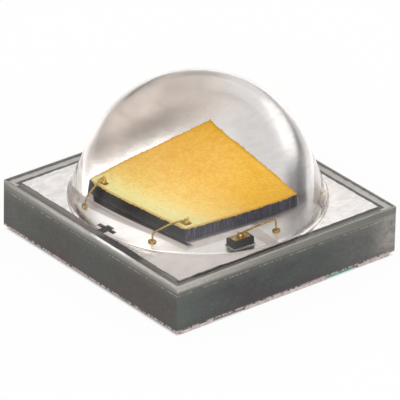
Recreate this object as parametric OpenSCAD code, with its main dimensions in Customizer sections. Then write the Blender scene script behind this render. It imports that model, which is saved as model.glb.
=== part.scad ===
// Surface-mount LED: a ceramic plate with metal islands on top and pads below, a phosphor-coated
// chip, a protection diode and gold bond wires, all covered by one clear silicone moulding.
// Millimetres. The origin is the middle of the underside, with +Z up. The side with the plus notch
// faces -X, and the side with the diode faces -Y.

/* [Package] */
// Length of each side of the square package
body_side = 3.45; // [3.4:0.01:3.6]
// Thickness of the ceramic plate
ceramic_t = 0.545; // [0.4:0.005:0.7]

/* [Lens] */
// Radius of the lens's dome
lens_r = 1.476; // [1.45:0.001:1.49]
// Height of the dome's centre above the top of the film
lens_rise = 0.073; // [0.03:0.001:0.1]
// Radius at the film of the drafted skirt that the dome runs out into
skirt_r = 1.61; // [1.57:0.005:1.64]
// Place of the lens's axis
lens_at = [-0.016, 0.013];
// Thickness of the clear film over the ceramic, beyond the lens
film_t = 0.09; // [0.06:0.005:0.15]

/* [Top metal] */
// Thickness of the metal islands
metal_t = 0.02; // [0.01:0.001:0.03]
// Bare ceramic margin between the islands and the sides
metal_margin = 0.16; // [0.1:0.005:0.2]
// Width of the gap between the two islands
gap_w = 0.15; // [0.08:0.01:0.16]
// Thickness of the pale insulating strip that fills the gap
strip_t = 0.014; // [0.005:0.001:0.02]
// Distance from the middle to the left edge of the chip's island
island_left = 0.83; // [0.80:0.01:0.84]
// Distance from the middle to the front and back edges of the island's tongue under the chip
tongue_half_w = 0.83; // [0.75:0.01:0.84]
// Place across the part where the gap leaves the tongue, at its middle
gap_exit_x = -0.055; // [-0.1:0.005:0.0]

/* [Plus notch] */
// Distance from the middle to the notch's cross arm
plus_x = 1.36; // [1.3:0.005:1.46]
// Length of the cross arm
plus_arm = 0.28; // [0.2:0.01:0.4]
// Width of the cross arm
plus_arm_w = 0.08; // [0.05:0.005:0.1]
// Width of the stem, which runs out through the edge of the metal
plus_stem_w = 0.11; // [0.05:0.005:0.14]
// Length of the stem past the arm, towards the chip
plus_tip = 0.095; // [0.05:0.005:0.16]

/* [Bottom pads] */
// Thickness of the three solder pads
pad_t = 0.055; // [0.035:0.005:0.06]
// Length of the pads
pad_l = 3.35; // [3.0:0.01:3.38]
// How far the pads sit off the middle, towards the front
pad_shift = 0.03; // [0:0.005:0.03]
// Width of the two outer pads
pad_w = 0.5; // [0.4:0.01:0.55]
// Width of the middle heat pad
heat_pad_w = 1.3; // [1.1:0.01:1.4]
// Clear gap between neighbouring pads
pad_gap = 0.5; // [0.4:0.01:0.52]
// Width of the green stripe in the gap beside the outer pad on the right
stripe_w = 0.38; // [0.2:0.01:0.39]
// Thickness of the green stripe
stripe_t = 0.03; // [0.01:0.005:0.035]
// Radius of the plugs that join the islands to the outer pads
via_r = 0.1; // [0.05:0.01:0.15]
// Distance of the plugs from the middle, front and back
via_y = 1.05; // [0.5:0.05:1.2]

/* [Chip] */
// Side of the square chip
chip_side = 1.42; // [1.2:0.01:1.42]
// Place of the chip's middle
chip_at = [-0.07, 0.0];
// Thickness of the solder under the chip
solder_t = 0.005; // [0.005:0.001:0.02]
// Thickness of the chip
chip_t = 0.12; // [0.1:0.005:0.13]
// Thickness of the phosphor coat
phosphor_t = 0.012; // [0.01:0.001:0.03]
// Radius of the coat's corners beside the bond pads
coat_corner_r = 0.07; // [0.03:0.01:0.1]
// Width of the chip's square gold pads
bond_pad_w = 0.11; // [0.1:0.01:0.12]
// Thickness of the gold pads
bond_pad_t = 0.006; // [0.003:0.001:0.01]
// Distance of each gold pad's middle from the chip's left side
bond_pad_in = 0.12; // [0.1:0.005:0.15]
// Distance of each gold pad's middle from the chip's front or back side
bond_pad_edge = 0.125; // [0.12:0.005:0.16]

/* [Diode] */
// Length of the protection diode, left to right
diode_l = 0.28; // [0.24:0.01:0.3]
// Width of the diode, front to back
diode_w = 0.17; // [0.16:0.01:0.2]
// Thickness of the diode
diode_t = 0.09; // [0.07:0.005:0.1]
// Place of the diode's middle
diode_at = [-0.375, -1.21];
// Thickness of the silver paste under the diode
paste_t = 0.01; // [0.005:0.001:0.015]
// How far the paste spreads past the diode on each side
paste_margin = 0.012; // [0.005:0.001:0.02]
// Bare edge of the diode round its gold pad
diode_pad_margin = 0.025; // [0.02:0.005:0.035]

/* [Bond wires] */
// Radius of the gold wire
wire_r = 0.0115; // [0.009:0.0005:0.0125]
// Radius of the ball bond at each wire's foot
ball_r = 0.042; // [0.035:0.001:0.045]
// Height of the ball bond
ball_h = 0.022; // [0.018:0.001:0.025]
// Radius of the stud under each wire's far end
stud_r = 0.040; // [0.03:0.001:0.044]
// Height of the stud
stud_h = 0.05; // [0.045:0.001:0.06]
// Radius of the bend where a wire levels out before its stud
ease_r = 0.2; // [0.1:0.01:0.3]
// Length of the wire's tail past the middle of its stud
tail_l = 0.015; // [0.005:0.001:0.03]
// Feet of the wires on the metal: back chip wire, front chip wire, diode wire
wire_feet = [[-1.19, 0.52], [-1.14, -0.56], [0.145, -1.17]];
// Radius of the bend over each foot, in the same order
wire_bend_r = [0.07, 0.05, 0.04];
// Slope of each wire's long stretch, in degrees
wire_slope = [9, 11, -2];
// Length of each wire's level end
wire_level = [0.12, 0.16, 0.03];

/* [Hidden] */
$fn = 96;

half = body_side / 2;
metal_half = half - metal_margin;
ceramic_top = pad_t + ceramic_t;
metal_top = ceramic_top + metal_t;
film_top = ceramic_top + film_t;
lens_z = film_top + lens_rise;
chip_base = metal_top + solder_t;
chip_top = chip_base + chip_t;
coat_top = chip_top + phosphor_t;
diode_base = metal_top + paste_t;
diode_top = diode_base + diode_t;
pad_mid = heat_pad_w / 2 + pad_gap + pad_w / 2;
bond_x = chip_at[0] - chip_side / 2 + bond_pad_in;
bond_y = chip_side / 2 - bond_pad_edge;
back_bond = [bond_x, chip_at[1] + bond_y, chip_top + bond_pad_t];
front_bond = [bond_x, chip_at[1] - bond_y, chip_top + bond_pad_t];
diode_bond = [diode_at[0], diode_at[1], diode_top + bond_pad_t];
diode_size = [diode_l, diode_w];
pad_y = -pad_shift;
// How far a cutting shape runs past the faces it cuts
past = 0.01;
gold = "#C99A3A";

// Block centred over a point of the plane, standing on height z
module block(at, size, z, h) {
    translate([at[0] - size[0] / 2, at[1] - size[1] / 2, z]) cube([size[0], size[1], h]);
}

// Plate of thickness h standing on height z, with the child as its outline
module plate(z, h) {
    translate([0, 0, z]) linear_extrude(h) children();
}

// Outline of everything on the chip's side of the middle line of the gap, widened by grow
module chip_side_outline(grow) {
    left = -island_left - grow;
    reach = tongue_half_w + grow;
    exit = gap_exit_x + gap_w / 2 - grow;
    union() {
        translate([left, -reach]) square([half - left, 2 * reach]);
        translate([exit, -half]) square([half - exit, body_side]);
    }
}

module metal_outline() {
    square(2 * metal_half, center = true);
}

module plus_outline() {
    arm_x = -plus_x - plus_arm_w / 2;
    stem_end = -plus_x + plus_tip;
    union() {
        translate([arm_x, -plus_arm / 2]) square([plus_arm_w, plus_arm]);
        translate([-half, -plus_stem_w / 2]) square([half + stem_end, plus_stem_w]);
    }
}

module ceramic_plate() {
    color("#4E4F4B") difference() {
        block([0, 0], [body_side, body_side], pad_t, ceramic_t);
        via_plugs(-1, past);
        via_plugs(1, past);
    }
}

// Two round plugs through the plate over the outer pad on one side, longer by extra at both ends
module via_plugs(side, extra) {
    for (y = [-via_y, via_y])
        translate([side * pad_mid, y, pad_t - extra]) cylinder(r = via_r, h = ceramic_t + 2 * extra);
}

module anode_vias() {
    color("#B87333") via_plugs(-1, 0);
}

module cathode_vias() {
    color("#B87333") via_plugs(1, 0);
}

module anode_island() {
    color("#D9DADB") plate(ceramic_top, metal_t) difference() {
        metal_outline();
        chip_side_outline(gap_w);
        plus_outline();
    }
}

module cathode_island() {
    color("#D9DADB") plate(ceramic_top, metal_t) intersection() {
        metal_outline();
        chip_side_outline(0);
    }
}

module insulating_strip() {
    color("#C9CAC8") plate(ceramic_top, strip_t) intersection() {
        metal_outline();
        difference() {
            chip_side_outline(gap_w);
            chip_side_outline(0);
        }
    }
}

module anode_pad() {
    color("#CFCBC6") block([-pad_mid, pad_y], [pad_w, pad_l], 0, pad_t);
}

module heat_pad() {
    color("#CFCBC6") block([0, pad_y], [heat_pad_w, pad_l], 0, pad_t);
}

module cathode_pad() {
    color("#CFCBC6") block([pad_mid, pad_y], [pad_w, pad_l], 0, pad_t);
}

module solder_mask_stripe() {
    x = heat_pad_w / 2 + stripe_w / 2;
    color("#0E6B52") block([x, pad_y], [stripe_w, pad_l], pad_t - stripe_t, stripe_t);
}

module chip_solder() {
    color("#A9A8A4") block(chip_at, [chip_side, chip_side], metal_top, solder_t);
}

module led_chip() {
    color("#2A2A33") block(chip_at, [chip_side, chip_side], chip_base, chip_t);
}

// Outline of the phosphor coat: square on the right, with rounded corners beside the bond pads
module coat_outline() {
    s = chip_side / 2;
    translate(chip_at) union() {
        translate([-s + coat_corner_r, -s]) square([chip_side - coat_corner_r, chip_side]);
        translate([-s, -s + coat_corner_r]) square([chip_side, chip_side - 2 * coat_corner_r]);
        for (y = [-s + coat_corner_r, s - coat_corner_r])
            translate([-s + coat_corner_r, y]) circle(coat_corner_r);
    }
}

module phosphor_coat() {
    color("#F2C14E") difference() {
        plate(chip_top, phosphor_t) coat_outline();
        for (p = [back_bond, front_bond])
            block(p, [bond_pad_w, bond_pad_w], chip_top - past, phosphor_t + 2 * past);
    }
}

module chip_bond_pads() {
    color(gold) for (p = [back_bond, front_bond])
        block(p, [bond_pad_w, bond_pad_w], chip_top, bond_pad_t);
}

// Wire along +Z that bends towards +X. Each step is a straight length, a bend radius and an angle;
// a bend back towards -X has both values negative.
module wire_run(steps, i = 0) {
    if (i < len(steps)) {
        straight = steps[i][0];
        r = steps[i][1];
        a = steps[i][2];
        cylinder(r = wire_r, h = straight);
        translate([0, 0, straight]) {
            wire_bend(r, a);
            translate([r * (1 - cos(a)), 0, r * sin(a)]) rotate([0, a, 0]) wire_run(steps, i + 1);
        }
    }
}

module wire_bend(r, a) {
    if (a != 0)
        mirror([r < 0 ? 1 : 0, 0, 0]) translate([abs(r), 0, 0]) rotate([90, 0, 0])
            mirror([1, 0, 0]) rotate_extrude(angle = abs(a)) translate([abs(r), 0]) circle(wire_r);
}

// Gold wire from a ball bond on the metal to a stud at the point far: up, over in a bend of radius
// bend_r, on at the given slope, then level for its last stretch, half sunk in the stud's top, with
// a short tail past the stud's middle
module bond_wire(foot, far, bend_r, slope, level) {
    span = norm([far[0] - foot[0], far[1] - foot[1]]);
    heading = atan2(far[1] - foot[1], far[0] - foot[0]);
    root_z = metal_top + ball_h / 2;
    end_z = far[2] + stud_h;
    ease = slope < 0 ? -ease_r : ease_r;
    run = (span - level - bend_r * (1 - sin(slope)) - ease * sin(slope)) / cos(slope);
    rise = end_z - root_z - bend_r * cos(slope) - run * sin(slope) - ease * (1 - cos(slope));
    color(gold) union() {
        translate([foot[0], foot[1], metal_top]) cylinder(r = ball_r, h = ball_h);
        translate([foot[0], foot[1], root_z]) rotate([0, 0, heading])
            wire_run([[rise, bend_r, 90 - slope], [run, ease, slope], [level + tail_l, 0, 0]]);
        translate(far) cylinder(r = stud_r, h = stud_h);
    }
}

// The wire of that place in the lists of feet, bends, slopes and level ends
module wire_to(far, i) {
    bond_wire(wire_feet[i], far, wire_bend_r[i], wire_slope[i], wire_level[i]);
}

module back_bond_wire() {
    wire_to(back_bond, 0);
}

module front_bond_wire() {
    wire_to(front_bond, 1);
}

module diode_bond_wire() {
    wire_to(diode_bond, 2);
}

module diode_paste() {
    spread = [2 * paste_margin, 2 * paste_margin];
    color("#B9B6B0") block(diode_at, diode_size + spread, metal_top, paste_t);
}

module protection_diode() {
    color("#1C1A1C") block(diode_at, diode_size, diode_base, diode_t);
}

module diode_bond_pad() {
    bare = [2 * diode_pad_margin, 2 * diode_pad_margin];
    color(gold) block(diode_at, diode_size - bare, diode_top, bond_pad_t);
}

// Half of the lens's outline: the dome's arc, tangent to the straight side of its drafted skirt
module lens_outline() {
    draft = acos(lens_r / norm([skirt_r, lens_rise])) - atan2(lens_rise, skirt_r);
    touch = [lens_r * cos(draft), lens_z + lens_r * sin(draft)];
    union() {
        intersection() {
            translate([0, lens_z]) circle(lens_r);
            translate([0, touch[1]]) square([lens_r, lens_r]);
        }
        polygon([[0, film_top], [skirt_r, film_top], touch, [0, touch[1]]]);
    }
}

module silicone_lens() {
    color("#DDE3E6", 0.35) difference() {
        union() {
            block([0, 0], [body_side, body_side], ceramic_top, film_t);
            translate([lens_at[0], lens_at[1], 0]) rotate_extrude() lens_outline();
        }
        anode_island();
        cathode_island();
        insulating_strip();
        chip_solder();
        led_chip();
        phosphor_coat();
        chip_bond_pads();
        back_bond_wire();
        front_bond_wire();
        diode_paste();
        protection_diode();
        diode_bond_pad();
        diode_bond_wire();
    }
}

ceramic_plate();
anode_island();
cathode_island();
insulating_strip();
anode_vias();
cathode_vias();
anode_pad();
heat_pad();
cathode_pad();
solder_mask_stripe();
chip_solder();
led_chip();
phosphor_coat();
chip_bond_pads();
back_bond_wire();
front_bond_wire();
diode_paste();
protection_diode();
diode_bond_pad();
diode_bond_wire();
silicone_lens();
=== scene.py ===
"""A surface-mount light-emitting diode: striped pads, dark ceramic plate, silver islands, coated
chip, gold wires and one clear silicone moulding. Meshes are in metres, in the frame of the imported
part, and the patterns of the finishes are laid out in millimetres."""
import math

import bmesh
import bpy
from mathutils import Matrix, Vector, noise


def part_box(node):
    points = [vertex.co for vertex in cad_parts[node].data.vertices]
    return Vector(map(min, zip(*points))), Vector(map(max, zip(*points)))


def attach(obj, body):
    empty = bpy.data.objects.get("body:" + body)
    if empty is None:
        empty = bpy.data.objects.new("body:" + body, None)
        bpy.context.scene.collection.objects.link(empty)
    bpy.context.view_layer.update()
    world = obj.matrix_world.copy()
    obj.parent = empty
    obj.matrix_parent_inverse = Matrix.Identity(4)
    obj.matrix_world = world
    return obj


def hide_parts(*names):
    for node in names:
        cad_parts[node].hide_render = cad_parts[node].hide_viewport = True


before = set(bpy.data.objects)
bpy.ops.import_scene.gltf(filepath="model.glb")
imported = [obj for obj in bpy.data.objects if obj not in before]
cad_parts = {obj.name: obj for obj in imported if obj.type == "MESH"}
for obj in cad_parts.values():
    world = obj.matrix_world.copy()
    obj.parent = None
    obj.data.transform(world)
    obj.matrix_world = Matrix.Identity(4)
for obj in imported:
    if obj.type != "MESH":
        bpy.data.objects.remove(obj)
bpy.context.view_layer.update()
scene = bpy.context.scene
mm = 0.001
HAIR = 0.001 * mm                       # smallest distance that matters
noise.seed_set(4)                       # without it, vector noise changes from run to run

# Clear moulding
FILM = 0.09 * mm                        # clear film over the ceramic
LENS_RISE = 0.073 * mm                  # centre of the dome above the film
SKIRT = 1.61 * mm                       # radius of the drafted skirt at the film
LENS_AT = Vector((-0.016, 0.013, 0)) * mm
TURNS = 256                             # steps round the lens
DOME_STEPS, SKIRT_STEPS = 96, 16        # steps down the dome and down the skirt
FOOT_RING = 1.015                       # first ring of the film, in radii of the skirt
FOOT_ROUND = 0.01 * mm                  # rounding between skirt and film
SQUARE_IN = 0.03 * mm                   # inner square of the film, from the sides
SAWN_ROUND = 0.012 * mm                 # rounding of the film's sawn edge
SAWN_FROM = 0.0115 * mm                 # faces nearer the sides than this are sawn
LAP = 0.002 * mm                        # how far the film reaches into the ceramic
LAP_IN = 0.003 * mm                     # and how far that lap stays inside the sides
SILICONE_INDEX = 1.43

# Metal, strip and coat
SHEET_EDGE = 0.03 * mm                  # longest edge along the outline of a sheet
SHEET_WAVE = 0.016 * mm                 # unevenness of a sheet at the bare ceramic
BOND_PAD = 0.11 * mm                    # side of a bond pad, and of the coat's window round it
COAT_CORNER = 0.07 * mm                 # radius of the coat's two left corners
COAT_SQUARES = 150                      # mesh squares along the coat's side
COAT_RAG = 0.011 * mm                   # unevenness of the coat's outline
COAT_TEETH = 0.026 * mm                 # how far the coat runs down the chip's walls
COAT_LUMPS = 0.004 * mm                 # height of its grain and wear at its edges
COAT_EDGE = 0.02 * mm                   # width of its worn edge

# Gold wires
WIRE = 0.0115 * mm                      # radius of the wire
BALL = 0.05 * mm                        # radius of the ball at its foot
NECK = 0.034 * mm                       # height at which the wire leaves the ball
STUD = 0.040 * mm                       # radius of the stud on the bond pad
STUD_HIGH = 0.05 * mm                   # height of the wire over the bond pad
EASE = 0.2 * mm                         # radius of the bend from the slope to the level end
TAIL = 0.015 * mm                       # wire beyond the middle of the stud
STUD_CRUSH = 0.008 * mm                 # unevenness of the stud
STUB_LEAN = math.radians(35)            # lean of the torn stub of wire on it
# Outlines of radius and height, to be turned
BALL_OUTLINE = ((0, 0), (BALL * 0.9, 0), (BALL, 0.005 * mm), (BALL * 1.02, 0.011 * mm),
                (BALL * 0.93, 0.019 * mm), (BALL * 0.7, 0.0235 * mm), (BALL * 0.42, 0.027 * mm),
                (WIRE * 1.05, NECK))
STUD_OUTLINE = ((0, 0), (STUD * 1.05, 0), (STUD * 1.12, 0.01 * mm), (STUD * 1.0, 0.03 * mm),
                (STUD * 0.75, 0.046 * mm), (STUD * 0.4, 0.056 * mm), (0, 0.06 * mm))
STUB_OUTLINE = ((0, 0), (WIRE * 1.1, 0), (WIRE * 1.2, 0.02 * mm), (WIRE * 1.3, 0.03 * mm),
                (WIRE * 0.8, 0.037 * mm), (0, 0.039 * mm))

# Floor and sky
FLOOR = 0.6                             # half its side, in metres
FLOOR_GLOW = 0.93                       # share of plain white where it is seen
TABLE_END = (6, 22)                     # where it falls into shade, in millimetres
EVEN_LIGHT = 0.75                       # strength of the sky between its panels

low = {n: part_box(n)[0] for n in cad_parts}
high = {n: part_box(n)[1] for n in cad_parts}
ceramic_top = high["ceramic_plate"].z
metal_top = high["anode_island"].z
body_half = high["silicone_lens"].x
film_top = ceramic_top + FILM


# ---------------------------------------------------------------- pieces
def new_piece(name, bm, materials, node, crease=35):
    """Makes a piece of the finished mesh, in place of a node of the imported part."""
    mesh = bpy.data.meshes.new(name)
    for face in bm.faces:
        face.smooth = True
    bm.to_mesh(mesh)
    bm.free()
    mesh.set_sharp_from_angle(angle=math.radians(crease))
    piece = bpy.data.objects.new(name, mesh)
    scene.collection.objects.link(piece)
    for material in materials:
        mesh.materials.append(material)
    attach(piece, "root")
    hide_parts(node)


def turned(bm, outline, steps):
    """Turns an outline of radius and height round the Z axis, and closes its pole."""
    path = [bm.verts.new((r, 0, z)) for r, z in outline]
    edges = [bm.edges.new(pair) for pair in zip(path, path[1:])]
    bmesh.ops.spin(bm, geom=path + edges, cent=(0, 0, 0), axis=(0, 0, 1), angle=2 * math.pi,
                   steps=steps, use_merge=True, use_duplicate=False)
    bmesh.ops.remove_doubles(bm, verts=bm.verts[:], dist=1e-4 * mm)


def points_of(made):
    return [p for p in made if isinstance(p, bmesh.types.BMVert)]


def rim_of(made):
    return [e for e in made if isinstance(e, bmesh.types.BMEdge) and e.is_boundary]


def draw_out(bm, rim, place):
    """Extrudes an open rim, and puts each of its new points where place says."""
    made = bmesh.ops.extrude_edge_only(bm, edges=rim)["geom"]
    for v in points_of(made):
        v.co = place(v.co)
    return rim_of(made)


def thickened(bm):
    """Copies the faces of a sheet, joins the copy to it by walls, and returns the copy's points."""
    made = bmesh.ops.extrude_face_region(bm, geom=bm.faces[:], use_keep_orig=True)["geom"]
    return points_of(made)


def arc(centre, radius, start, end, steps):
    """Points of an arc in the plane of radius and height, angles in degrees."""
    turns = [math.radians(start + (end - start) * i / steps) for i in range(steps + 1)]
    return [(centre[0] + radius * math.cos(t), centre[1] + radius * math.sin(t)) for t in turns]


def clear_moulding(clear, sawn):
    """The lens, its foot and the film beside it, as one closed body."""
    centre = film_top + LENS_RISE
    radius = high["silicone_lens"].z - centre
    # The skirt is the line that touches the dome and ends on the film
    draft = math.acos(radius / math.hypot(SKIRT, LENS_RISE)) - math.atan2(LENS_RISE, SKIRT)
    outline = arc((0, centre), radius, 90, math.degrees(draft), DOME_STEPS)
    touch_r, touch_z = outline[-1]
    outline += [(touch_r + (SKIRT - touch_r) * i / SKIRT_STEPS,
                 touch_z + (film_top - touch_z) * i / SKIRT_STEPS)
                for i in range(1, SKIRT_STEPS + 1)]
    outline[0] = (0, outline[0][1])
    bm = bmesh.new()
    turned(bm, outline, TURNS)
    bmesh.ops.translate(bm, vec=LENS_AT, verts=bm.verts[:])

    def step_out(co):
        wider = LENS_AT.lerp(co, FOOT_RING)
        return Vector((wider.x, wider.y, film_top))

    def on_square(half, z, start=Vector()):
        def place(co):
            way = co - start
            way *= half / max(abs(way.x), abs(way.y))
            return Vector((way.x, way.y, z))
        return place

    # The film runs out to the square, down its sawn sides and in below it
    crease = open_rim = [e for e in bm.edges if e.is_boundary]
    open_rim = draw_out(bm, open_rim, step_out)
    open_rim = draw_out(bm, open_rim, on_square(body_half - SQUARE_IN, film_top, LENS_AT))
    open_rim = draw_out(bm, open_rim, on_square(body_half - SAWN_ROUND, film_top))
    edge = open_rim = draw_out(bm, open_rim, on_square(body_half, film_top))
    open_rim = draw_out(bm, open_rim, on_square(body_half, ceramic_top + LAP / 2))
    open_rim = draw_out(bm, open_rim, on_square(body_half - LAP_IN, ceramic_top - LAP))
    bmesh.ops.edgeloop_fill(bm, edges=open_rim)
    for edges, width in ((edge, SAWN_ROUND), (crease, FOOT_ROUND)):
        bmesh.ops.bevel(bm, geom=edges, offset=width, segments=3, profile=0.5,
                        affect="EDGES", material=-1)
    bmesh.ops.recalc_face_normals(bm, faces=bm.faces[:])
    for face in bm.faces:
        x, y, z = face.calc_center_median()
        if max(abs(x), abs(y)) > body_half - SAWN_FROM and z < film_top - 0.2 * HAIR:
            face.material_index = 1
    new_piece("clear_moulding", bm, [clear, sawn], "silicone_lens")


def ragged_sheet(name, node, material):
    """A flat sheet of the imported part, its top level with the metal, uneven at the bare ceramic."""
    bm = bmesh.new()
    bm.from_mesh(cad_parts[node].data)
    bmesh.ops.delete(bm, geom=[f for f in bm.faces if f.normal.z < 0.5], context="FACES")
    bmesh.ops.dissolve_limit(bm, angle_limit=0.01, verts=bm.verts[:], edges=bm.edges[:])
    while True:
        cut = [e for e in bm.edges if e.is_boundary and e.calc_length() > SHEET_EDGE]
        if not cut:
            break
        bmesh.ops.subdivide_edges(bm, edges=cut, cuts=1)
    bare = high["cathode_island"].x - HAIR
    for v in bm.verts:
        if max(abs(v.co.x), abs(v.co.y)) > bare:
            p = v.co.xy.to_3d() / mm
            push = noise.noise_vector(p * 9) * 0.6 + noise.noise_vector(p * 31) * 0.5
            v.co += push * SHEET_WAVE
        v.co.z = metal_top
    bmesh.ops.triangulate(bm, faces=bm.faces[:])
    for v in thickened(bm):
        v.co.z = low[node].z
    bmesh.ops.recalc_face_normals(bm, faces=bm.faces[:])
    new_piece(name, bm, [material], node)


def phosphor_layer(material):
    """The granular coat, with a window round each bond pad and ragged sides."""
    lo, hi = low["phosphor_coat"], high["phosphor_coat"]
    half = (hi.x - lo.x) / 2
    middle = (lo + hi) / 2
    pads = low["chip_bond_pads"], high["chip_bond_pads"]
    bm = bmesh.new()
    bmesh.ops.create_grid(bm, x_segments=COAT_SQUARES, y_segments=COAT_SQUARES, size=half)
    bmesh.ops.translate(bm, vec=(middle.x, middle.y, lo.z), verts=bm.verts[:])

    def left_out(p):
        pad_half = BOND_PAD / 2
        for y in (pads[0].y + pad_half, pads[1].y - pad_half):
            if abs(p.x - pads[0].x - pad_half) < pad_half and abs(p.y - y) < pad_half:
                return True
        inset = Vector((lo.x + COAT_CORNER - p.x, abs(p.y - middle.y) - (half - COAT_CORNER)))
        return inset.x > 0 and inset.y > 0 and inset.length > COAT_CORNER

    out = [f for f in bm.faces if left_out(f.calc_center_median())]
    bmesh.ops.delete(bm, geom=out, context="FACES")
    rim = [v for v in bm.verts if v.is_boundary]
    for v in rim:
        p = v.co * (60 / mm)
        v.co.x += noise.noise(p) * COAT_RAG
        v.co.y += noise.noise(p + Vector((9, 4, 2))) * COAT_RAG
    top = thickened(bm)
    # The lower rim hangs in teeth over the chip's walls, and not into the windows
    for v in rim:
        p = v.co.copy()
        if max(abs(p.x - middle.x), abs(p.y - middle.y)) > half - COAT_EDGE:
            teeth = noise.noise(p * (110 / mm)) + 0.5 * noise.noise(p * (30 / mm))
            v.co += (p - middle).normalized() * COAT_LUMPS
            v.co.z = lo.z - max(0.0, teeth) * COAT_TEETH
    for v in top:
        p = v.co / mm
        lumps = noise.noise(p * 24) * 0.5 + noise.noise(p * 60) * 0.35 + noise.noise(p * 7) * 0.3
        from_edge = min(v.co.x - lo.x, hi.x - v.co.x, v.co.y - lo.y, hi.y - v.co.y)
        worn = max(0.0, 1 - from_edge / COAT_EDGE)
        v.co.z += hi.z - lo.z + (lumps - worn) * COAT_LUMPS
    bmesh.ops.recalc_face_normals(bm, faces=bm.faces[:])
    new_piece("phosphor_layer", bm, [material], "phosphor_coat", 60)


def wire_path(rise, bend, slope, run, level):
    """The wire from its ball's neck: how far along, how high and how far turned from upright."""
    path = [(0.0, NECK, 0.0)]

    def straight(length, steps=3):
        for _ in range(steps):
            x, z, t = path[-1]
            path.append((x + math.sin(t) * length / steps, z + math.cos(t) * length / steps, t))

    def curve(radius, angle, steps):
        for _ in range(steps):
            x, z, t = path[-1]
            new = t + angle / steps
            path.append((x + radius * (math.cos(t) - math.cos(new)),
                         z + radius * (math.sin(new) - math.sin(t)), new))

    straight(rise - NECK)
    curve(bend, math.pi / 2 - slope, 10)
    straight(run, 8)
    curve(math.copysign(EASE, slope), slope, 4)
    straight(level + TAIL)
    return path


def add_stud(bm, span, pad_high, wire_high):
    """The crushed stud on the bond pad, and the torn stub of wire that stands up out of it."""
    stud = bmesh.new()
    turned(stud, STUD_OUTLINE, 20)
    for v in stud.verts:
        if v.co.z > 2 * HAIR:
            p = v.co / mm * 38 + Vector((span / mm * 7, 0, 0))
            v.co += noise.noise_vector(p) * STUD_CRUSH
    bmesh.ops.translate(stud, vec=(span, 0, pad_high), verts=stud.verts[:])
    stub = bmesh.new()
    turned(stub, STUB_OUTLINE, 12)
    bmesh.ops.rotate(stub, cent=(0, 0, 0), matrix=Matrix.Rotation(STUB_LEAN, 3, "Y"),
                     verts=stub.verts[:])
    bmesh.ops.translate(stub, vec=(span + TAIL * 0.6, 0, wire_high - 0.008 * mm),
                        verts=stub.verts[:])
    for part in (stud, stub):
        mesh = bpy.data.meshes.new("part")
        part.to_mesh(mesh)
        part.free()
        bm.from_mesh(mesh)
        bpy.data.meshes.remove(mesh)


def gold_wire(name, node, foot, far, bend, slope, level, material):
    """A ball bond on the metal, with the wire drawn up out of it, over and down to its stud.

    It stands at foot and ends on the pad's top at far. Foot, the radius of the bend and the
    length of the level end are in millimetres, and the slope of the long run is in degrees."""
    foot, far = Vector(foot) * mm, Vector(far)
    bend, level, slope = bend * mm, level * mm, math.radians(slope)
    along = far.xy - foot
    span = along.length
    ease = math.copysign(EASE, slope)
    end = far.z + STUD_HIGH - metal_top
    run = (span - level - bend * (1 - math.sin(slope)) - ease * math.sin(slope)) / math.cos(slope)
    rise = end - bend * math.cos(slope) - run * math.sin(slope) - ease * (1 - math.cos(slope))
    bm = bmesh.new()
    turned(bm, BALL_OUTLINE, 20)
    rim = [e for e in bm.edges if e.is_boundary]
    path = wire_path(rise, bend, slope, run, level)
    for (x0, z0, t0), (x1, z1, t1) in zip(path, path[1:]):
        made = bmesh.ops.extrude_edge_only(bm, edges=rim)["geom"]
        ring, rim = points_of(made), rim_of(made)
        bmesh.ops.translate(bm, vec=(x1 - x0, 0, z1 - z0), verts=ring)
        bmesh.ops.rotate(bm, cent=(x1, 0, z1), matrix=Matrix.Rotation(t1 - t0, 3, "Y"), verts=ring)
    bmesh.ops.edgeloop_fill(bm, edges=rim)
    add_stud(bm, span, far.z - metal_top, end)
    turn = Matrix.Rotation(math.atan2(along.y, along.x), 3, "Z")
    bmesh.ops.rotate(bm, cent=(0, 0, 0), matrix=turn, verts=bm.verts[:])
    bmesh.ops.translate(bm, vec=(foot.x, foot.y, metal_top), verts=bm.verts[:])
    bmesh.ops.recalc_face_normals(bm, faces=bm.faces[:])
    new_piece(name, bm, [material], node, 50)


# ---------------------------------------------------------------- finishes
def tint(code):
    """Linear colour of an sRGB hex code."""
    parts = [int(code[i:i + 2], 16) / 255 for i in (0, 2, 4)]
    return (*[c / 12.92 if c <= 0.04045 else ((c + 0.055) / 1.055) ** 2.4 for c in parts], 1)


class Nodes:
    """The nodes of a material or of the world. A socket's value is a number or another's output."""

    def __init__(self, tree):
        self.tree = tree

    def join(self, value, socket):
        if isinstance(value, bpy.types.NodeSocket):
            self.tree.links.new(value, socket)
        else:
            socket.default_value = value

    def add(self, kind, sockets=None, **settings):
        made = self.tree.nodes.new(kind)
        for name, value in settings.items():
            setattr(made, name, value)
        for name, value in (sockets or {}).items():
            self.join(value, made.inputs[name])
        return made

    def maths(self, operation, a, b=0.0, c=0.0):
        return self.add("ShaderNodeMath", {0: a, 1: b, 2: c}, operation=operation).outputs[0]

    def plus(self, a, b):
        return self.maths("ADD", a, b)

    def times(self, first, *others):
        for other in others:
            first = self.maths("MULTIPLY", first, other)
        return first

    def line(self, value, slope, offset):
        """The value times the slope, plus the offset."""
        return self.maths("MULTIPLY_ADD", value, slope, offset)

    def larger(self, a, b):
        return self.maths("MAXIMUM", a, b)

    def spread(self, value, start, end, low=0.0, high=1.0, smooth=False):
        """Takes a value from start to end onto low to high."""
        sockets = {"Value": value, "From Min": start, "From Max": end,
                   "To Min": low, "To Max": high}
        kind = "SMOOTHSTEP" if smooth else "LINEAR"
        return self.add("ShaderNodeMapRange", sockets, interpolation_type=kind).outputs[0]


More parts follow.
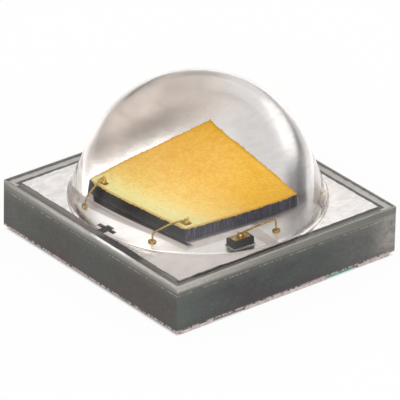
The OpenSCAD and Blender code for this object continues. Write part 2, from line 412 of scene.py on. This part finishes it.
class Finish(Nodes):
    """A material under construction. Patterns are laid out in millimetres on the piece."""

    def __init__(self, name, **shader):
        self.material = bpy.data.materials.new(name)
        self.material.use_nodes = True
        super().__init__(self.material.node_tree)
        self.shader = self.tree.nodes["Principled BSDF"]
        self.output = self.tree.nodes["Material Output"]
        for socket, value in shader.items():
            self.shader.inputs[socket.replace("_", " ")].default_value = value
        place = self.add("ShaderNodeTexCoord").outputs["Object"]
        scale = (1 / mm, 1 / mm, 1 / mm)
        self.place = self.add("ShaderNodeMapping", {"Vector": place, "Scale": scale}).outputs[0]
        self.x, self.y, self.z = self.add("ShaderNodeSeparateXYZ", {0: self.place}).outputs

    def squeeze(self, x, y, z):
        """The place with its axes scaled. A scale under 1 draws a pattern out along its axis."""
        return self.add("ShaderNodeMapping", {"Vector": self.place, "Scale": (x, y, z)}).outputs[0]

    def grain(self, per_mm, detail=3.0, roughness=0.6, place=None, distortion=0.0):
        """Cloudy pattern from 0 to 1."""
        sockets = {"Vector": place or self.place, "Scale": per_mm, "Detail": detail,
                   "Roughness": roughness, "Distortion": distortion}
        return self.add("ShaderNodeTexNoise", sockets).outputs["Fac"]

    def off_middle(self, x, y):
        """The larger of the distances along x and along y."""
        return self.larger(self.maths("ABSOLUTE", x), self.maths("ABSOLUTE", y))

    def mix(self, amount, a, b, kind="MIX"):
        """Colour a turned into b. A colour is a socket or an sRGB hex code."""
        made = self.add("ShaderNodeMix", data_type="RGBA", blend_type=kind)
        inputs = {s.identifier: s for s in made.inputs}
        self.join(amount, inputs["Factor_Float"])
        for value, socket in ((a, inputs["A_Color"]), (b, inputs["B_Color"])):
            self.join(tint(value) if isinstance(value, str) else value, socket)
        return next(s for s in made.outputs if s.identifier == "Result_Color")

    def drive(self, socket, value):
        self.tree.links.new(value, self.shader.inputs[socket])

    def bump(self, height, deep):
        """Relief that is so many millimetres deep."""
        self.drive("Normal", self.add("ShaderNodeBump", {"Height": height, "Distance": deep * mm,
                                                         "Strength": 1.0}).outputs[0])


def sawn_ceramic():
    """Dark ceramic: painted light makes it warm on the left side and cool on the front; speckled on
    the front, chipped at its edges.
    """
    f = Finish("sawn_ceramic", Roughness=0.7)
    top, side = ceramic_top / mm, body_half / mm
    cloud = f.grain(1.5, 4, 0.6)
    blotch = f.grain(7, 4, 0.65)
    speckle = f.grain(36, 3, 0.8)
    # Painted light: the left side and the front get their own tints of the one ceramic
    warm = f.mix(f.spread(cloud, 0.4, 0.6), "4A4340", "484A46")
    cool = f.mix(f.spread(cloud, 0.42, 0.58), "3D3C40", "434B48")
    cool = f.mix(f.spread(f.x, -side, -side + 0.9, 0.6, 0), cool, "5E6A67")
    cool = f.mix(f.spread(f.x, 0.5, side, 0, 0.7), cool, "66625F")
    cool = f.mix(f.spread(f.x, 1.25, side, 0, 0.9, smooth=True), cool, "918E8A")
    base = f.mix(f.spread(f.y, -side + 0.002, -side + 0.004), cool, warm)
    # Blotches, pale and dark specks, and violet stains except at the left end
    base = f.mix(f.spread(blotch, 0.52, 0.7, 0, 0.4), base, "4F5C56")
    base = f.mix(f.spread(speckle, 0.54, 0.7, 0, 0.5), base, "7C8683")
    base = f.mix(f.spread(speckle, 0.47, 0.32, 0, 0.5), base, "2B2928")
    violet = f.spread(f.grain(10, 4, 0.7), 0.5, 0.62, 0, 0.5)
    base = f.mix(f.times(violet, f.spread(f.x, -1.2, -0.9)), base, "453F4A")
    # Browner near the pads, paler near the film, in shade away from the right and back ends
    base = f.mix(f.spread(f.z, 0.2, 0.07, 0, 0.45), base, "4E3F3E")
    base = f.mix(f.spread(f.z, top - 0.2, top - 0.02, 0, 0.3, smooth=True), base, "6F736B")
    shaded = f.times(f.spread(f.y, 1.5, 0.95), f.spread(f.x, 1.1, 0.5))
    base = f.mix(shaded, base, "E4E4E3", "MULTIPLY")
    # A pale rim under the film, with a line of chips below it, and chips along the lower edge
    chips = f.grain(26, 3, 0.7, f.squeeze(1, 1, 0.3))
    base = f.mix(f.spread(f.z, top - 0.03, top - 0.008, 0, 0.7), base, "7E7B74")
    chip_line = f.times(f.spread(f.z, top - 0.062, top - 0.05),
                        f.spread(f.z, top - 0.036, top - 0.046),
                        f.spread(chips, 0.46, 0.6, 0, 0.55))
    base = f.mix(chip_line, base, "A3A49C")
    low_edge = f.times(f.spread(f.z, 0.085, 0.065), f.spread(chips, 0.45, 0.52))
    base = f.mix(low_edge, base, "AFA3A2")
    base = f.mix(f.spread(f.z, top - 0.001, top - 0.0005), base, margin_shade(f))
    f.drive("Base Color", base)
    f.drive("Roughness", f.spread(speckle, 0.3, 0.7, 0.5, 0.85))
    f.bump(f.plus(speckle, f.grain(90, 3, 0.7)), 0.003)
    return f.material


def margin_shade(f):
    """Top of the plate under the film, in bands that follow each side of the plate. Its pale bands
    are painted light, seen through the film.
    """
    side = body_half / mm
    grain = f.grain(14, 4, 0.7)
    inwards = f.maths("SUBTRACT", side, f.off_middle(f.x, f.y))
    inwards = f.plus(inwards, f.line(grain, 0.05, -0.025))
    # Left side: pale grey painted light, dark beside the silver, and the dark floor of the plus notch
    base = f.mix(f.spread(inwards, 0.08, 0.14), "66625C", "8C8882")
    base = f.mix(f.spread(grain, 0.45, 0.6, 0, 0.4), base, "7B7870")
    dark = f.times(f.spread(f.y, -0.92, -0.82), f.spread(f.y, -0.05, -0.15))
    base = f.mix(f.times(dark, f.spread(f.x, -1.5, -1.54)), base, "3C3839")
    base = f.mix(f.spread(inwards, 0.2, 0.28), base, "1C1A19")
    # Front side, then the right and back sides, whose pale bands are painted light too
    front = f.mix(f.spread(inwards, 0.105, 0.118), "7C7B75", "383633")
    base = f.mix(f.spread(f.y, -1.53, -1.56), base, front)
    back = f.mix(f.spread(inwards, 0.012, 0.02), "5A6462", "E6E4DF")
    back = f.mix(f.spread(inwards, 0.095, 0.105), back, "59625F")
    return f.mix(f.spread(f.larger(f.x, f.y), 1.53, 1.56), base, back)


def island_silver():
    """Plating: a mirror under the middle and the back of the lens, satin along its front and left,
    streaked under the film, with painted shade beside the strip and under the left of the skirt,
    and a matt near-white painted reflection at the front corner."""
    f = Finish("island_silver", Metallic=1.0)
    streaks = f.grain(6, 5, 0.6, f.squeeze(1, 1.6, 1), distortion=0.4)
    brushed = f.grain(30, 4, 0.7, f.squeeze(0.35, 1, 1))
    base = f.mix(f.spread(f.grain(2.2, 3), 0.35, 0.65), "FCFAF9", "F6F4F2")
    base = f.mix(f.spread(streaks, 0.5, 0.72, 0, 0.4), base, "E6E1DE")
    base = f.mix(f.spread(brushed, 0.5, 0.7, 0, 0.35), base, "E9E5E2")
    away = f.add("ShaderNodeVectorMath", {0: f.place, 1: LENS_AT / mm},
                 operation="DISTANCE").outputs["Value"]
    film = f.times(f.spread(away, 1.6, 1.66), f.spread(streaks, 0.35, 0.62, 0.2, 1.0))
    base = f.mix(film, base, "E3E0DE")
    # The left end of the plating, from the slanting edge of the strip on: painted shade, darkest by
    # the strip
    beyond_strip = f.plus(f.x, f.line(f.y, 0.16, 1.078))
    painted_strip_shade = f.times(f.spread(beyond_strip, -0.012, 0.012), f.spread(f.y, -0.99, -0.95),
                   f.spread(f.x, -0.9, -0.95), f.spread(away, 1.72, 1.66))
    shade = f.mix(f.spread(beyond_strip, 0.17, 0.03), "B0A9A5", "C4BEBB")
    base = f.mix(painted_strip_shade, base, shade)
    # Painted shade: a brown ring under the left of the skirt
    ring = f.times(f.spread(away, 1.5, 1.56), f.spread(away, 1.69, 1.64),
                   f.times(f.spread(f.x, -0.7, -1.0), f.spread(f.y, -0.6, -0.3)), 0.8)
    base = f.mix(ring, base, "A79A91")
    # Painted reflection: the front corner is made matt and near white
    painted_corner_light = f.times(f.spread(f.y, -0.75, -0.95), f.spread(f.x, 0.4, 0.0), f.spread(away, 1.58, 1.64))
    base = f.mix(f.times(painted_corner_light, f.spread(streaks, 0.3, 0.7, 1.0, 0.6)), base, "FFF9F4")
    f.drive("Base Color", base)
    f.drive("Metallic", f.spread(painted_corner_light, 0, 1, 1.0, 0.0))
    satin = f.larger(f.times(f.spread(f.y, -0.72, -0.82), f.spread(f.x, 0.9, 0.6)),
                     f.times(f.spread(f.x, -0.78, -0.86), f.spread(f.y, 0.75, 0.6)))
    satin = f.times(satin, f.spread(away, 1.6, 1.5), 0.28)
    f.drive("Roughness", f.plus(f.spread(streaks, 0.3, 0.7, 0.09, 0.13), satin))
    f.bump(f.grain(14, 5, 0.7), 0.0003)
    return f.material


def strip_glass():
    """Pale strip, with the chip's shade painted along the tongue and a painted highlight along its
    outer edge.
    """
    f = Finish("insulating_glass", Roughness=0.6, Specular_IOR_Level=0.2)
    cloud = f.grain(12, 4, 0.6)
    pale = f.mix(f.spread(cloud, 0.35, 0.65), "E6DFDA", "D6CEC9")
    # Left run: dark, and light outside the slanting line of the chip's shade and at its tail
    left = f.times(f.plus(f.x, f.line(f.y, 0.055, 0.926)), -1.0)
    tail = f.plus(f.y, f.line(f.x, -0.78, -0.608))
    lit = f.larger(f.spread(left, -0.008, 0.008), f.spread(tail, 0.64, 0.66))
    left_side = f.mix(lit, "2B2725", f.mix(f.spread(left, 0.0, 0.06), "CDC4BE", "E3DCD7"))
    # Front run: painted shade along the chip, a white painted highlight along its outer edge
    front = f.line(f.y, -1.0, -0.83)
    front_side = f.mix(f.spread(front, 0.0, 0.13, smooth=True), "6B6563", pale)
    front_side = f.mix(f.spread(front, 0.13, 0.145), front_side, "FFFFFF")
    nearer_y = f.maths("SUBTRACT", f.maths("ABSOLUTE", f.y), f.maths("ABSOLUTE", f.x))
    on_left = f.spread(nearer_y, 0.02, -0.02)
    base = f.mix(on_left, front_side, left_side)
    base = f.mix(f.spread(f.x, -0.82, -0.8), base, f.mix(on_left, pale, front_side))
    # Behind the chip it mirrors the dome as the silver beside it does
    behind = f.spread(f.y, 0.6, 0.66)
    f.drive("Base Color", f.mix(behind, base, "F8F6F4"))
    f.drive("Roughness", f.spread(behind, 0, 1, 0.6, 0.1))
    f.drive("Metallic", behind)
    f.bump(cloud, 0.0003)
    return f.material


def plain(name, code_a, code_b, scale, rough, metallic=0.0, deep=0.002, **more):
    """A finish of two shades in a cloudy pattern with a fine bump."""
    f = Finish(name, Metallic=metallic, Roughness=rough, **more)
    f.drive("Base Color", f.mix(f.spread(f.grain(scale, 4), 0.35, 0.65), code_a, code_b))
    f.drive("Roughness", f.spread(f.grain(scale * 2, 2), 0.3, 0.7, rough * 0.8, rough * 1.2))
    f.bump(f.grain(scale * 4, 4), deep)
    return f.material


def phosphor():
    """Granular coat with painted light: pale amber at the front left and deeper orange towards the
    back right.
    """
    f = Finish("granular_phosphor", Roughness=0.9, Specular_IOR_Level=0.05)
    lo, hi = low["phosphor_coat"], high["phosphor_coat"]
    middle = (lo + hi) / 2 / mm
    half = (hi.x - lo.x) / 2 / mm
    lean = 0.06
    # Painted light along this slant: lit at the front left, deeper towards the back right
    slant = f.plus(f.x, f.times(f.y, lean))
    slant = f.maths("SUBTRACT", slant, middle.x + middle.y * lean)
    base = f.mix(f.spread(slant, -0.52, -0.26), "FFF9B0", "FFE07E")
    base = f.mix(f.spread(slant, -0.26, -0.02), base, "FBD162")
    base = f.mix(f.spread(slant, -0.02, 0.25), base, "F6C33E")
    base = f.mix(f.spread(slant, 0.25, 0.9), base, "FAC63E")
    # Coarse clouds, strong away from the front left, and fine dark and pale grains
    coarse = f.grain(8, 4)
    fine = f.grain(36, 3, 0.8)
    depth = f.spread(slant, -0.52, -0.2, 0.25, 0.7)
    base = f.mix(f.times(depth, f.spread(coarse, 0.48, 0.66, 0, 0.6)), base, "F8DDA6", "MULTIPLY")
    base = f.mix(f.spread(fine, 0.53, 0.4, 0, 0.6), base, "F6E0AE", "MULTIPLY")
    base = f.mix(f.spread(fine, 0.54, 0.68, 0, 0.15), base, "FFF3C4")
    # Painted shade towards the back
    back = f.times(f.spread(f.y, middle.y, middle.y + 0.75, 0, 0.9),
                   f.spread(slant, -0.45, -0.15))
    base = f.mix(back, base, "F0EADD", "MULTIPLY")
    # Darker along the edge
    outwards = f.off_middle(f.maths("SUBTRACT", f.x, middle.x), f.maths("SUBTRACT", f.y, middle.y))
    outwards = f.plus(outwards, f.spread(fine, 0.3, 0.7, -0.012, 0.012))
    base = f.mix(f.spread(outwards, half - 0.03, half - 0.008, 0, 0.7), base, "D09A2A")
    f.drive("Base Color", base)
    f.bump(fine, 0.004)
    return f.material


def sawn_chip():
    """Chip walls: near black on the left, dark blue-violet with fine saw lines on the front."""
    f = Finish("sawn_chip", Roughness=0.5, Specular_IOR_Level=0.3)
    wall = low["led_chip"] / mm
    streaks = f.grain(70, 3, 0.6, f.squeeze(1, 1, 0.08))
    front = f.mix(f.spread(streaks, 0.46, 0.62), "1A1925", "5C5C78")
    front = f.mix(f.spread(f.x, -0.45, 0.1, 0, 0.5), front, "17161C")
    left = f.mix(f.spread(streaks, 0.45, 0.7), "0E0D0C", "26211F")
    f.drive("Base Color", f.mix(f.spread(f.y, wall.y + 0.002, wall.y + 0.004), front, left))
    f.bump(streaks, 0.003)
    return f.material


def clear_silicone():
    return Finish("clear_silicone", Roughness=0.0, IOR=SILICONE_INDEX, Transmission_Weight=1.0,
                  Base_Color=(1, 1, 1, 1)).material


def sawn_silicone():
    """The film's sawn sides: frosted, painted with what shows through them, and with a painted
    highlight rim that is widest beside the plus.
    """
    f = Finish("sawn_silicone", Roughness=0.3, IOR=SILICONE_INDEX, Transmission_Weight=0.25)
    top = film_top / mm
    smear = f.spread(f.grain(5, 4, 0.6, f.squeeze(1, 1, 6)), 0.35, 0.65, -0.006, 0.006)
    z = f.plus(f.z, smear)
    # Painted light: bands of the metal and the margin seen through the side
    base = f.mix(f.spread(z, top - 0.088, top - 0.045), "74736F", "9C9A95")
    base = f.mix(f.spread(z, top - 0.05, top - 0.035), base, "BBB8B2")
    base = f.mix(f.spread(z, top - 0.008, top - 0.001, 0, 0.5), base, "8C8880")
    base = f.mix(f.spread(f.y, 0.7, 1.6, 0, 0.5), base, "5E5D59")
    # Painted highlight: a white streak on the left side beside the plus
    streak = f.times(f.times(f.spread(f.y, -0.95, -0.6), f.spread(f.y, 0.0, -0.15)),
                     f.spread(z, top - 0.034, top - 0.024), f.spread(f.x, -1.6, -1.7))
    base = f.mix(streak, base, "FFFFFF")
    # The front side, paler towards its left end, with a painted highlight along its top
    front = f.mix(f.spread(f.x, -1.5, -0.3), "B6B4AE", "84837C")
    front = f.mix(f.spread(f.x, -0.3, 1.2), front, "6C7069")
    front = f.mix(f.spread(z, top - 0.07, top - 0.085, 0, 0.6), front, "5F5D57")
    front = f.mix(f.spread(z, top - 0.022, top - 0.008, 0, 0.5), front, "B9BAB3")
    base = f.mix(f.spread(f.y, -1.71, -1.72), base, front)
    dark = f.times(f.spread(f.grain(20, 4, 0.7, f.squeeze(1, 1, 2)), 0.5, 0.6), 0.25)
    f.drive("Base Color", f.mix(dark, base, "6B6963"))
    f.bump(f.grain(40, 3, 0.6, f.squeeze(1, 1, 4)), 0.002)
    return f.material


# ---------------------------------------------------------------- scene
gold = plain("bond_gold", "E6C264", "6E5016", 60, 0.16, 1.0)
silver = island_silver()
finish_of = {
    "ceramic_plate": sawn_ceramic(),
    "anode_island": silver,
    "cathode_island": silver,
    "insulating_strip": strip_glass(),
    "anode_vias": plain("plug_copper", "C77B4A", "A8602F", 12, 0.4, 1.0),
    "anode_pad": plain("pad_silver", "D6CDC8", "B3A6A2", 14, 0.42, 1.0, 0.004),
    "solder_mask_stripe": plain("green_mask", "22C49A", "12906F", 10, 0.35),
    "chip_solder": plain("soft_solder", "3A3735", "1F1D1C", 20, 0.5, 0.3),
    "led_chip": sawn_chip(),
    "chip_bond_pads": gold,
    "diode_paste": plain("silver_paste", "C4BDB6", "8F8880", 30, 0.5, 0.6),
    "protection_diode": plain("black_diode", "0E0C0E", "1A171A", 30, 0.35,
                              Specular_IOR_Level=0.25),
    "diode_bond_pad": gold,
}
finish_of["cathode_vias"] = finish_of["anode_vias"]
finish_of["heat_pad"] = finish_of["cathode_pad"] = finish_of["anode_pad"]
for name, material in finish_of.items():
    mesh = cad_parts[name].data
    mesh.materials.clear()
    mesh.materials.append(material)

clear_moulding(clear_silicone(), sawn_silicone())
ragged_sheet("silver_island_left", "anode_island", silver)
ragged_sheet("silver_island_right", "cathode_island", silver)
ragged_sheet("glass_strip", "insulating_strip", finish_of["insulating_strip"])
phosphor_layer(phosphor())
pad_lo, pad_hi = low["chip_bond_pads"], high["chip_bond_pads"]
pad_half = BOND_PAD / 2
back_bond = (pad_lo.x + pad_half, pad_hi.y - pad_half, pad_hi.z)
front_bond = (pad_lo.x + pad_half, pad_lo.y + pad_half, pad_hi.z)
diode_lo, diode_hi = low["diode_bond_pad"], high["diode_bond_pad"]
diode_bond = (*((diode_lo + diode_hi) / 2).xy, diode_hi.z)
gold_wire("back_wire", "back_bond_wire", (-1.19, 0.52), back_bond, 0.07, 9, 0.12, gold)
gold_wire("front_wire", "front_bond_wire", (-1.14, -0.56), front_bond, 0.05, 11, 0.16, gold)
gold_wire("diode_wire", "diode_bond_wire", (0.145, -1.17), diode_bond, 0.04, -2, 0.03, gold)


def pale_floor():
    """White floor that keeps the shadow, and shows white to the camera, metal and glass."""
    bm = bmesh.new()
    bmesh.ops.create_grid(bm, x_segments=2, y_segments=2, size=FLOOR)
    mesh = bpy.data.meshes.new("floor")
    bm.to_mesh(mesh)
    bm.free()
    floor = bpy.data.objects.new("floor", mesh)
    scene.collection.objects.link(floor)
    pale, shade = (0.8, 0.8, 0.8, 1), (0.3, 0.3, 0.3, 1)
    f = Finish("pale_floor", Roughness=0.9, Base_Color=pale)
    seen = f.add("ShaderNodeLightPath").outputs
    white = f.add("ShaderNodeEmission", {"Color": (1, 1, 1, 1), "Strength": 1.0})
    outwards = f.off_middle(f.x, f.y)
    under = body_half / mm
    beyond = f.spread(outwards, under - 0.05, under)
    # The table ends in shade behind the part, and glass and metal mirror that
    near = f.spread(outwards, *TABLE_END, 1.0, 0.0)
    f.drive("Base Color", f.mix(near, shade, pale))
    mirrored = f.times(near, seen["Is Glossy Ray"])
    shows = f.larger(f.larger(seen["Is Camera Ray"], mirrored), seen["Is Transmission Ray"])
    amount = f.times(shows, beyond, FLOOR_GLOW)
    both = f.add("ShaderNodeMixShader", {0: amount, 1: f.shader.outputs[0], 2: white.outputs[0]})
    f.join(both.outputs[0], f.output.inputs["Surface"])
    mesh.materials.append(f.material)


def aim(turn, height):
    """Direction from its turn about +Z and its height over the floor, in degrees."""
    turn, height = math.radians(turn), math.radians(height)
    return Vector((math.cos(height) * math.cos(turn), math.cos(height) * math.sin(turn),
                   math.sin(height)))


def studio():
    """Soft light all round, with bright panels low behind and beside the part and dark gaps."""
    world = bpy.data.worlds.new("studio")
    scene.world = world
    world.use_nodes = True
    w = Nodes(world.node_tree)
    sky = w.tree.nodes["Background"]
    ray = w.add("ShaderNodeTexCoord").outputs["Generated"]

    def along(direction):
        """Cosine of the angle between the ray and a direction."""
        return w.add("ShaderNodeVectorMath", {0: ray, 1: direction},
                     operation="DOT_PRODUCT").outputs["Value"]

    def panel(turn, height, outer, inner):
        """1 within the angle inner of a direction, falling to 0 at the angle outer."""
        return w.spread(along(aim(turn, height)), math.cos(math.radians(outer)),
                        math.cos(math.radians(inner)), smooth=True)

    def gap(start, end, outer, inner):
        """1 on the line from start to end, falling to 0 at the angle outer to its sides."""
        start, end = aim(*start), aim(*end)
        half = start.angle(end) / 2
        off_line = w.maths("ABSOLUTE", along(start.cross(end).normalized()))
        side = w.spread(off_line, math.sin(math.radians(outer)), math.sin(math.radians(inner)),
                        smooth=True)
        near = w.spread(along((start + end).normalized()), math.cos(half + 0.1), math.cos(half),
                        smooth=True)
        return w.times(side, near)

    def less(amount, part):
        return w.maths("SUBTRACT", 1.0, w.times(amount, part))

    # The big low panel behind the part ends in an edge that rises to the right
    upper = aim(-52, 72.7)
    below = w.spread(along(upper), 0.64, 0.615, smooth=True)
    edge_line = w.maths("ABSOLUTE", w.maths("SUBTRACT", along(upper), 0.708))
    above = w.spread(edge_line, 0.06, 0.01, smooth=True)
    horizon = w.spread(along((0, 0, 1)), 0.29, 0.19, smooth=True)
    level = EVEN_LIGHT
    # Panels are added to the even light, or taken from it where they are dark
    for amount, part in ((-0.17, panel(10, 60, 38, 20)),
                         (-0.5, panel(220, 81, 26, 9)),
                         (0.75, w.times(below, panel(10, 18, 39, 26))),
                         (0.5, w.times(below, panel(34, 36, 13, 6))),
                         (-0.12, panel(36, 41, 8, 3)),
                         (-0.14, panel(25, 38, 9, 4)),
                         (-0.1, panel(38, 67, 12, 6)),
                         (-0.08, panel(355, 59, 12, 6)),
                         (-0.2, panel(138, 66, 11, 4)),
                         (-0.3, panel(125, 38, 12, 5)),
                         (-0.08, panel(350, 36, 12, 5)),
                         (-0.15, panel(84, 60, 12, 5)),
                         (0.16, panel(6, 49, 18, 8)),
                         (0.08, panel(70, 54, 24, 12)),
                         (-0.13, panel(77, 42, 12, 5)),
                         (0.25, panel(54, 27, 14, 6)),
                         (0.45, gap((97, 37), (105, 53), 8, 3)),
                         (0.6, panel(-36, 30, 20, 10)),
                         (0.6, panel(156, 46, 23, 8)),
                         (0.62, panel(140, 20, 26, 10)),
                         (1.4, panel(225, 42, 62, 20))):
        level = w.plus(level, w.times(amount, part))
    # Gaps dim what is there by a share
    for amount, part in ((0.36, w.times(above, panel(8, 38, 38, 22))),
                         (0.65, w.times(horizon, panel(60, 0, 85, 60))),
                         (0.85, gap((-44, 76), (-18, 58), 5, 2)),
                         (0.6, gap((98, 25), (110, 36), 6.5, 2)),
                         (0.55, gap((110, 37), (131, 63), 3.5, 1)),
                         (0.7, panel(95, 22.5, 13.5, 5))):
        level = w.times(level, less(amount, part))
    w.join(level, sky.inputs["Strength"])
    brown = w.times(less(1.0, below), panel(5, 52, 48, 12))
    warmth = w.add("ShaderNodeValToRGB", {0: brown})
    warmth.color_ramp.elements[0].color = (1, 0.975, 0.96, 1)
    warmth.color_ramp.elements[1].color = (1, 0.86, 0.76, 1)
    w.join(warmth.outputs[0], sky.inputs["Color"])


def photo_camera():
    """A long lens, placed by the corners of the plate in the photograph."""
    lens = bpy.data.cameras.new("photo_camera")
    lens.sensor_width = 36
    lens.lens = 546.58
    lens.clip_start, lens.clip_end = 0.005, 5
    camera = bpy.data.objects.new("photo_camera", lens)
    right = Vector((0.77931864, -0.62634813, 0.01872117))
    up = Vector((0.28183874, 0.37704171, 0.88227347))
    turn = Matrix((right, up, right.cross(up))).transposed().to_4x4()
    stand = Vector((-42.0329, -51.2554, 35.9167)) * mm
    camera.matrix_world = Matrix.Translation(stand) @ turn
    scene.collection.objects.link(camera)
    scene.camera = camera


pale_floor()
studio()
photo_camera()
scene.view_settings.view_transform = "Standard"
# Light turns back many times inside the skirt of the lens
scene.cycles.max_bounces = 24
scene.cycles.glossy_bounces = 16
scene.cycles.transmission_bounces = 20
